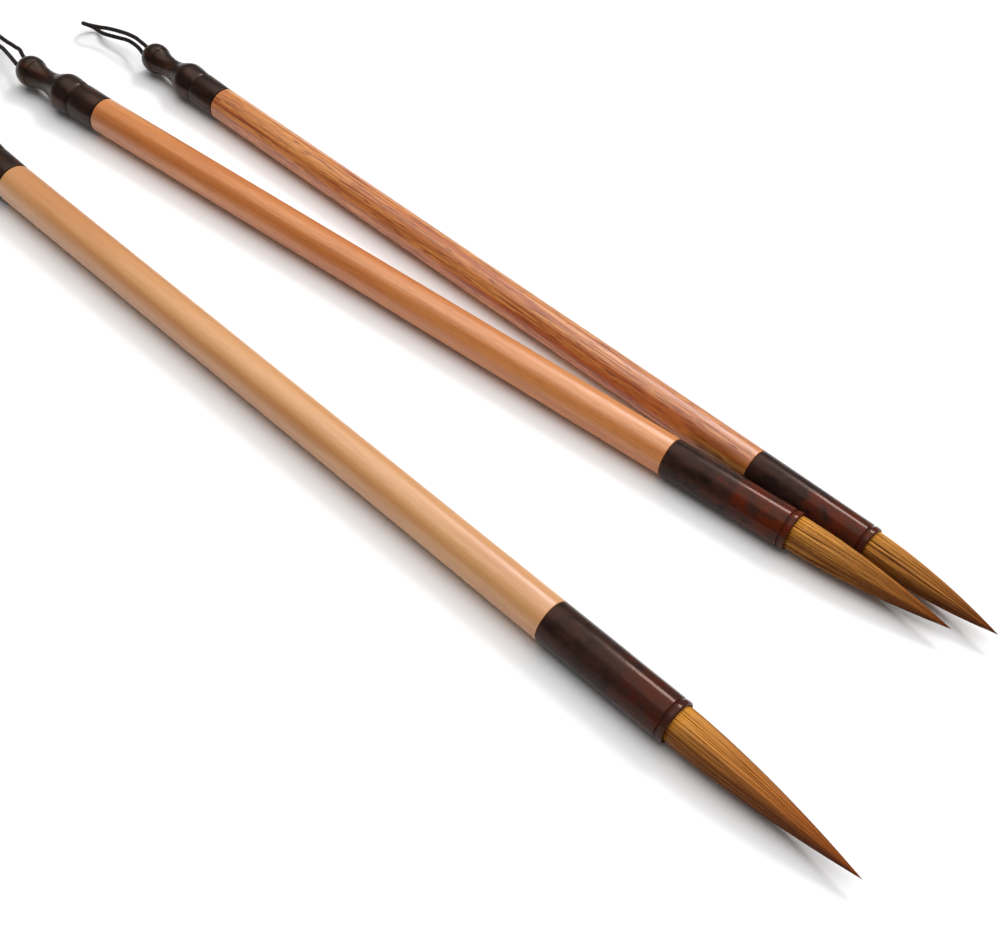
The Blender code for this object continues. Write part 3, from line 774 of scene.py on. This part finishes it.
def tuft_mesh(brush):
    """Core and strands as one mesh, with the tone, which holds painted light and shade, and the
    place along the hair on each corner.
    """
    dice = random.Random(SEED)
    verts, faces = tuft_core(brush)
    tones = [CORE_SHADE_TONE[brush.name]] * len(verts)
    one_strand = ring_faces(STRAND_RINGS, STRAND_SIDES)
    for _ in range(STRANDS[brush.name]):
        start = len(verts)
        corners = strand(brush, dice)
        # Painted light and shade: strands higher on the tuft get paler tones, lower ones darker.
        top_light_share = painted_light_on_top(corners[0].x / brush.hair_radius)
        lit_or_shaded_tone = PAINTED_SHADE_TONE + (PAINTED_LIGHT_TONE - PAINTED_SHADE_TONE) * top_light_share
        tone = between_0_and_1(dice.gauss(lit_or_shaded_tone, TONE_SPREAD[brush.name]))
        verts.extend(tuple(corner) for corner in corners)
        tones.extend([tone] * len(corners))
        faces.extend(tuple(k + start for k in face) for face in one_strand)
    mesh = mesh_from(f"{brush.name}_hair", verts, faces)
    along = [between_0_and_1((v[2] - mouth(brush)) / brush.hair) for v in verts]
    mesh.attributes.new("hair_tone", "FLOAT", "POINT").data.foreach_set("value", tones)
    mesh.attributes.new("hair_along", "FLOAT", "POINT").data.foreach_set("value", along)
    rest = []
    for (x, y, z), sunk in zip(verts, hair_centre(brush, np.array(along))):
        outward = Vector((x - sunk, y, 0)).normalized() * brush.hair_radius
        rest.extend((outward.x * MM, outward.y * MM, z * MM))
    mesh.attributes.new("hair_rest", "FLOAT_VECTOR", "POINT").data.foreach_set("vector", rest)
    return mesh


TUFTS = {brush.name: tuft_mesh(brush) for brush in BRUSHES}
for name, mesh in TUFTS.items():
    print(name, "tuft:", STRANDS[name], "strands,", len(mesh.vertices), "corners")

# %% [markdown]
# The imported model turns the tuft as a stiff piece on a hinge in the mouth. Real hair is held by
# the ferrule and bends over a short way in front of it. Here each tuft is set in place by its
# brush's frame, and the imported tuft is hidden.

for brush in BRUSHES:
    name = f"{brush.name}_hair"
    mesh = TUFTS[brush.name]
    piece = bpy.data.objects.new(name, mesh)
    bpy.context.scene.collection.objects.link(piece)
    mesh.transform(FRAMES[brush.name])
    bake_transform(piece)
    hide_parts(f"{brush.name}_tuft")
    PIECES[name] = piece
    print(name, len(mesh.polygons), "faces")

# %% [markdown]
# ## Materials
#
# A material is a small graph of nodes. One helper adds a node with its settings, its values and
# its links, and one turns a colour as a painter writes it, in sRGB hex, to the linear light that
# Blender works in. Pictures could give the patterns, but they have seams and an end, and noise has
# neither. The noise reads each piece's own coordinates, in metres, so a grain of a quarter of a
# millimetre is written as such.

# %% Helpers for materials
def linear(hex_colour):
    """sRGB hex to a linear colour with alpha 1."""
    values = [int(hex_colour[i : i + 2], 16) / 255 for i in (1, 3, 5)]
    return (*[v / 12.92 if v <= 0.04045 else ((v + 0.055) / 1.055) ** 2.4 for v in values], 1.0)


def new_material(name):
    """An empty material with a Principled shader, and the shader."""
    material = bpy.data.materials.new(name)
    material.use_nodes = True
    return material, material.node_tree.nodes["Principled BSDF"]


def add(material, kind, values=(), **settings):
    """One node. values maps sockets to numbers, colours or the sockets that drive them."""
    node = material.node_tree.nodes.new(f"ShaderNode{kind}")
    for name, setting in settings.items():
        setattr(node, name, setting)
    fill(material, node, values)
    return node


def fill(material, node, values):
    """Gives a node's inputs their numbers and colours, or links them to other sockets."""
    for name, value in dict(values).items():
        if isinstance(value, bpy.types.NodeSocket):
            material.node_tree.links.new(value, node.inputs[name])
        else:
            node.inputs[name].default_value = value


def streaks(material, across, along, detail=2.0, seed=0.0, coordinates=None):
    """Noise drawn out along the brush: streaks so wide and so long, in millimetres."""
    coordinates = coordinates or add(material, "TexCoord").outputs["Object"]
    values = {"Vector": coordinates, "Scale": (1, 1, across / along), "Location": (seed, 0, 0)}
    stretched = add(material, "Mapping", values).outputs["Vector"]
    values = {"Vector": stretched, "Scale": 1 / (across * MM), "Detail": detail}
    return add(material, "TexNoise", values).outputs["Fac"]


def contrast(material, source, low, high):
    """Stretches the values between low and high to the whole range from 0 to 1."""
    values = {"Value": source, "From Min": low, "From Max": high}
    return add(material, "MapRange", values).outputs["Result"]


# A Mix node has inputs for each kind of value: 2 and 3 take numbers, 6 and 7 take colours.
def mix(material, factor, first, second):
    """The first colour where the factor is 0, the second where it is 1."""
    values = {0: factor, 6: first, 7: second}
    return add(material, "Mix", values, data_type="RGBA").outputs[2]


def bumps(material, height, strength, depth):
    """Relief so many millimetres deep, as a normal for the shader."""
    values = {"Height": height, "Strength": strength, "Distance": depth * MM}
    return add(material, "Bump", values).outputs["Normal"]


print("white is", linear("#ffffff")[:3], "and mid grey is", round(linear("#808080")[0], 3))

# %% [markdown]
# ### Bamboo
#
# The handle is peeled and polished bamboo. Its colour wanders slowly along and round the culm, and
# the fibre bundles show as fine darker dashes along the grain, about a quarter of a millimetre
# wide and some millimetres long. One noise could draw them, but then they look ruled. So a coarser
# noise and a finer one are laid over each other, and the darker of the two shows. The front handle
# is the palest and the rear one has the strongest fibres. A thin clear coat gives the polish.

# %% Bamboo
# Pale ground, warm ground, fibre, width of the clouds, strength of the fibres, seed.
BAMBOO = {
    "front": ("#dba067", "#cd8b52", "#a5672e", 3.5, 0.20, 0.0),
    "middle": ("#df904b", "#cc7734", "#98501c", 3.0, 0.35, 0.4),
    "rear": ("#e69c4f", "#bd6220", "#86340b", 1.3, 1.0, 0.9),
}
CLOUD_LENGTH = 70
FIBRE_WIDTH, FIBRE_LENGTH, FIBRE_DEPTH = 0.50, 16, 0.03
DASH_WIDTH, DASH_LENGTH = 0.28, 5


def bamboo(name, pale, warm, fibre, cloud_width, strength, seed):
    """Polished bamboo: a clouded ground with fibres and fine dashes sunk into it."""
    material, shader = new_material(name)
    cloud = streaks(material, cloud_width, CLOUD_LENGTH, detail=3, seed=seed)
    cloud = contrast(material, cloud, low=0.38, high=0.62)
    ground = mix(material, cloud, linear(pale), linear(warm))
    grain = streaks(material, FIBRE_WIDTH, FIBRE_LENGTH, detail=3, seed=seed)
    grain = contrast(material, grain, low=0.46, high=0.72)
    dashes = streaks(material, DASH_WIDTH, DASH_LENGTH, detail=2, seed=seed + 0.1)
    dashes = contrast(material, dashes, low=0.55, high=0.66)
    lines = add(material, "Math", {0: grain, 1: dashes}, operation="MAXIMUM").outputs[0]
    amount = add(material, "Math", {0: lines, 1: strength}, operation="MULTIPLY").outputs[0]
    colour = mix(material, amount, ground, linear(fibre))
    rough = add(material, "MapRange", {"Value": lines, "To Min": 0.36, "To Max": 0.48}).outputs[0]
    relief = bumps(material, lines, strength=0.2, depth=-FIBRE_DEPTH)
    values = {"Base Color": colour, "Roughness": rough, "Normal": relief, "IOR": 1.5}
    values |= {"Coat Weight": 0.8, "Coat Roughness": 0.38}
    fill(material, shader, values)
    return material


for brush in BRUSHES:
    material = bamboo(f"{brush.name}_polished_bamboo", *BAMBOO[brush.name])
    PIECES[f"{brush.name}_bamboo"].data.materials.append(material)
    print(material.name, len(material.node_tree.nodes), "nodes")

# %% [markdown]
# ### Buffalo horn
#
# Horn is turned and then polished until it shines like lacquer. It is nearly black, but thin parts
# let a little light in and glow red brown in blotches, mostly towards the mouth, where it also
# shines the most. Subsurface light could do this truly, but it takes long and shows little on a
# piece this dark, so the glow is a redder colour where noise and the way to the mouth say that the
# horn is thin. The polish isn't perfectly even, so reflections waver along the sleeve, and a warm
# tint keeps them from looking like bare plastic.

# %% Horn
HORN_DARK, HORN_BROWN = "#211815", "#3a241e"
HORN_GLOW = {"front": "#4a1f13", "middle": "#5c2310", "rear": "#5a2412"}
HORN_GLEAM = "#f0c4b4"
BLOTCH_WIDTH, BLOTCH_LENGTH, BLOTCH_WEIGHT = 4.0, 6, 1.2
MOTTLE_WIDTH, MOTTLE_LENGTH = 2.2, 3.5
WAVER_WIDTH, WAVER_LENGTH, WAVER_DEPTH = 1.6, 3.0, 0.05


def horn(name, brush, glow_colour, seed):
    """Polished horn: mottled, nearly black, with a glow in blotches towards the mouth."""
    material, shader = new_material(name)
    coordinates = add(material, "TexCoord").outputs["Object"]
    z = add(material, "SeparateXYZ", {"Vector": coordinates}).outputs["Z"]
    towards_mouth = contrast(material, z, low=brush.handle * MM, high=mouth(brush) * MM)
    blotches = streaks(material, BLOTCH_WIDTH, BLOTCH_LENGTH, detail=4, seed=seed)
    values = {0: blotches, 1: BLOTCH_WEIGHT, 2: towards_mouth}
    thinner = add(material, "Math", values, operation="MULTIPLY_ADD").outputs[0]
    glow = contrast(material, thinner, low=1.10, high=1.26)
    mottle = streaks(material, MOTTLE_WIDTH, MOTTLE_LENGTH, detail=4, seed=seed + 0.2)
    mottle = contrast(material, mottle, low=0.36, high=0.62)
    ground = mix(material, mottle, linear(HORN_DARK), linear(HORN_BROWN))
    deep = mix(material, mottle, linear(HORN_BROWN), linear(glow_colour))
    colour = mix(material, glow, ground, deep)
    waver = streaks(material, WAVER_WIDTH, WAVER_LENGTH, detail=2, seed=seed + 0.5)
    relief = bumps(material, waver, strength=0.3, depth=WAVER_DEPTH)
    rough = add(material, "MapRange", {"Value": glow, "To Min": 0.27, "To Max": 0.15}).outputs[0]
    values = {"Base Color": colour, "Roughness": rough, "Normal": relief}
    values |= {"Specular IOR Level": 0.2, "Specular Tint": linear(HORN_GLEAM)}
    fill(material, shader, values)
    return material


for i, brush in enumerate(BRUSHES):
    material = horn(f"{brush.name}_polished_horn", brush, HORN_GLOW[brush.name], seed=0.3 * i)
    PIECES[f"{brush.name}_horn_ferrule"].data.materials.append(material)
    print(material.name, "made")

# %% [markdown]
# ### Dark hardwood
#
# The finial is turned from dense dark wood, stained nearly black and waxed. The wood could have
# growth rings, cut through as on a lathe, but under so much stain only short streaks are left, and
# drawn-out noise makes those. Wax gives a satin light, wider and softer than the horn's, and
# reddish wood shows where the stain is thin.

# %% Dark waxed wood
WOOD = {"stain": "#1b110d", "grain": "#281913", "red": "#422318", "wax": "#f0cbb8"}
GRAIN_WIDTH, GRAIN_LENGTH, GRAIN_DEPTH = 0.6, 7, 0.02
THIN_STAIN_WIDTH, THIN_STAIN_LENGTH = 3.0, 6


def waxed_wood(name, seed):
    """Dark stained wood with a fine grain, red where the stain is thin, and a satin wax."""
    material, shader = new_material(name)
    grain = streaks(material, GRAIN_WIDTH, GRAIN_LENGTH, detail=4, seed=seed)
    grain = contrast(material, grain, low=0.36, high=0.68)
    ground = mix(material, grain, linear(WOOD["stain"]), linear(WOOD["grain"]))
    thin_stain = streaks(material, THIN_STAIN_WIDTH, THIN_STAIN_LENGTH, detail=3, seed=seed + 0.3)
    thin_stain = contrast(material, thin_stain, low=0.50, high=0.74)
    colour = mix(material, thin_stain, ground, linear(WOOD["red"]))
    rough = add(material, "MapRange", {"Value": grain, "To Min": 0.27, "To Max": 0.33}).outputs[0]
    relief = bumps(material, grain, strength=0.2, depth=GRAIN_DEPTH)
    values = {"Base Color": colour, "Roughness": rough, "Normal": relief}
    values |= {"Specular IOR Level": 0.32, "Specular Tint": linear(WOOD["wax"])}
    fill(material, shader, values)
    return material


for i, brush in enumerate(BRUSHES):
    material = waxed_wood(f"{brush.name}_waxed_wood", seed=0.4 * i)
    for kind in ("finial", "end_cap"):
        mesh = PIECES[f"{brush.name}_turned_{kind}"].data
        mesh.materials.clear()
        mesh.materials.append(material)
    print(material.name, "made")

# %% [markdown]
# ### Hair
#
# The hair is stiff weasel hair, golden where it leaves the ferrule and redder towards the point,
# where it is thinner and lies closer. Blender's hair shader is meant for hair curves. On a mesh a
# plain shader does as well, when it reads the tone that each strand was given. Fine streaks stand
# for locks of hair, a third of a millimetre wide so that they show. They read the place where the
# hair would lie if it weren't drawn in, so they run along the strands and meet at the point.

# %% Hair
HAIR_ROOT = {"light": "#eda746", "dark": "#6a3002"}
HAIR_POINT = {"light": "#a24e12", "dark": "#461a02"}
LOCK_WIDTH, LOCK_LENGTH, LOCK_DEPTH = 0.32, 25, 0.04
LOCKS_SHARE = {"front": 0.24, "middle": 0.48, "rear": 0.48}
REDDENING = {"front": 0.5, "middle": 1.2, "rear": 1.0}


def weasel_hair(name, brush):
    """Hair in locks, each strand in its own tone with painted light and shade, and redder towards
    the point.
    """
    material, shader = new_material(name)
    # The strand tone holds painted light on the upper side and painted shade on the lower side.
    tone = add(material, "Attribute", attribute_name="hair_tone").outputs["Fac"]
    along = add(material, "Attribute", attribute_name="hair_along").outputs["Fac"]
    values = {0: along, 1: REDDENING[brush.name]}
    closeness = add(material, "Math", values, operation="POWER").outputs[0]
    untapered = add(material, "Attribute", attribute_name="hair_rest").outputs["Vector"]
    locks = streaks(material, LOCK_WIDTH, LOCK_LENGTH, detail=3, coordinates=untapered)
    locks = contrast(material, locks, low=0.44, high=0.57)
    values = {0: LOCKS_SHARE[brush.name], 2: tone, 3: locks}
    shade = add(material, "Mix", values, data_type="FLOAT").outputs[0]
    root = mix(material, shade, linear(HAIR_ROOT["dark"]), linear(HAIR_ROOT["light"]))
    point = mix(material, shade, linear(HAIR_POINT["dark"]), linear(HAIR_POINT["light"]))
    colour = mix(material, closeness, root, point)
    relief = bumps(material, locks, strength=0.4, depth=LOCK_DEPTH)
    values = {"Base Color": colour, "Roughness": 0.38, "Normal": relief}
    values |= {"Specular IOR Level": 0.15}
    fill(material, shader, values)
    return material


for brush in BRUSHES:
    material = weasel_hair(f"{brush.name}_weasel_hair", brush)
    PIECES[f"{brush.name}_hair"].data.materials.append(material)
    print(material.name, "made")

# %% [markdown]
# ### Cord, glue and thread
#
# The cord is braided from waxed cotton: dark, hardly shiny, with a speckle of lighter fibres. Its
# braid could be bumps in the material, but it is real relief already, so only the speckle is left
# to draw. The glued foot of the hair and the binding thread sit out of sight in the ferrule, but
# they are real pieces of the brush, so they get a finish as well. One function makes all three,
# since each is two tones of streaks.

# %% Cord, glue and thread
def plain_fibre(name, dark, light, across, along, depth, roughness):
    """A fibrous, matt material: two tones in streaks so wide and so long, in millimetres."""
    material, shader = new_material(name)
    fibres = contrast(material, streaks(material, across, along, detail=3), low=0.36, high=0.66)
    colour = mix(material, fibres, linear(dark), linear(light))
    relief = bumps(material, fibres, strength=0.4, depth=depth)
    values = {"Base Color": colour, "Roughness": roughness, "Normal": relief}
    values |= {"Specular IOR Level": 0.25}
    fill(material, shader, values)
    return material


cord_cotton = plain_fibre(
    "waxed_cotton_braid", "#120b0a", "#261a18", across=0.16, along=0.4, depth=0.04, roughness=0.7
)
glued_hair = plain_fibre(
    "glued_hair", "#5a3715", "#8f6230", across=0.15, along=6.0, depth=0.02, roughness=0.6
)
silk_thread = plain_fibre(
    "red_silk_thread", "#6e1a14", "#a23425", across=2.5, along=0.3, depth=0.05, roughness=0.5
)
INNER = {"cord_knot": cord_cotton, "tuft_root": glued_hair, "thread_band": silk_thread}
for brush in BRUSHES:
    PIECES[f"{brush.name}_braided_loop"].data.materials.append(cord_cotton)
    for piece, material in INNER.items():
        node = frame["nodes"][f"{brush.name}_{piece}"]
        node.data.materials.clear()
        node.data.materials.append(material)
print("inner pieces dressed:", len(BRUSHES) * len(INNER))

# %% [markdown]
# ## Table and light
#
# The photograph has a white table and two kinds of light: a small softbox high up behind the
# brushes, which draws the fine highlights, and a broad soft patch of light nearly straight above,
# which gives the soft shadows. Low down the room is dim all round: that is why each handle is
# darker below its middle, and why only the light that the table throws back lifts its lower side
# again. The table is plain white, and the camera and reflections see it a little brighter than
# its paint.

# %% Table
TABLE_SIZE = 3.0
TABLE_DROP = 0.07
TABLE_WHITE = "#f7f7f7"
CAMERA_GLOW = 0.03

bpy.ops.mesh.primitive_plane_add(size=TABLE_SIZE, location=(0, 0, -TABLE_DROP * MM))
table = bpy.context.active_object
table.name = "table"
paint, shader = new_material("white_table_paint")
rays = add(paint, "LightPath")
values = {0: rays.outputs["Is Camera Ray"], 1: rays.outputs["Is Glossy Ray"]}
seen = add(paint, "Math", values, operation="MAXIMUM").outputs[0]
glow = add(paint, "Math", {0: seen, 1: CAMERA_GLOW}, operation="MULTIPLY").outputs[0]
values = {"Base Color": linear(TABLE_WHITE), "Roughness": 0.9, "Specular IOR Level": 0.0}
values |= {"Emission Color": (1, 1, 1, 1), "Emission Strength": glow}
fill(paint, shader, values)
table.data.materials.append(paint)
print("table", TABLE_SIZE, "m square")

# %% [markdown]
# A lamp with a size gives the softbox. The room is the world's background: dim, with a round
# bright patch whose edge is soft. What a camera ray sees of it is another matter, because the
# photograph's ground is white: there the background is never darker than white, and so it is for
# light that comes through a piece. Reflections see a room at a fifth of that, as in the
# photograph, where the polish mirrors a dim room. The soft light on the brushes isn't changed.

# %% Light
SOFTBOX_DISTANCE = 2.0
SOFTBOX_SIZE = 0.45
SOFTBOX_FROM = Vector((-0.12, 0.63, 0.76)).normalized()
SOFTBOX_POWER = 13.0
SKY_FROM = Vector((0.0, 0.15, 1.0)).normalized()
SKY_EDGE, SKY_CORE = math.cos(math.radians(48)), math.cos(math.radians(29))
DIM_ROOM = 0.03
BRIGHT_SKY = 2.2
GLOSSY_ROOM = 0.2
SEEN_WHITE = {"Is Camera Ray": 1.0, "Is Transmission Ray": 1.0, "Is Glossy Ray": GLOSSY_ROOM}

softbox_data = bpy.data.lights.new("softbox", "AREA")
softbox_data.size = SOFTBOX_SIZE
softbox_data.energy = SOFTBOX_POWER
softbox = bpy.data.objects.new("softbox", softbox_data)
bpy.context.scene.collection.objects.link(softbox)
softbox.location = SOFTBOX_FROM * SOFTBOX_DISTANCE
softbox.rotation_euler = SOFTBOX_FROM.to_track_quat("Z", "Y").to_euler()

world = bpy.data.worlds.new("room")
bpy.context.scene.world = world
world.use_nodes = True
direction = add(world, "TexCoord").outputs["Generated"]
values = {0: direction, 1: SKY_FROM}
height = add(world, "VectorMath", values, operation="DOT_PRODUCT").outputs["Value"]
values = {"Value": height, "From Min": SKY_EDGE, "From Max": SKY_CORE}
values |= {"To Min": DIM_ROOM, "To Max": BRIGHT_SKY}
strength = add(world, "MapRange", values, interpolation_type="SMOOTHSTEP").outputs["Result"]
rays = add(world, "LightPath")
for kind, share in SEEN_WHITE.items():
    seen = add(world, "Math", {0: rays.outputs[kind], 1: share}, operation="MULTIPLY").outputs[0]
    strength = add(world, "Math", {0: strength, 1: seen}, operation="MAXIMUM").outputs[0]
background = world.node_tree.nodes["Background"]
fill(world, background, {"Color": (1, 1, 1, 1), "Strength": strength})
bpy.context.scene.view_settings.view_transform = "Standard"
print("softbox", SOFTBOX_SIZE, "m at", [round(c, 2) for c in softbox.location])
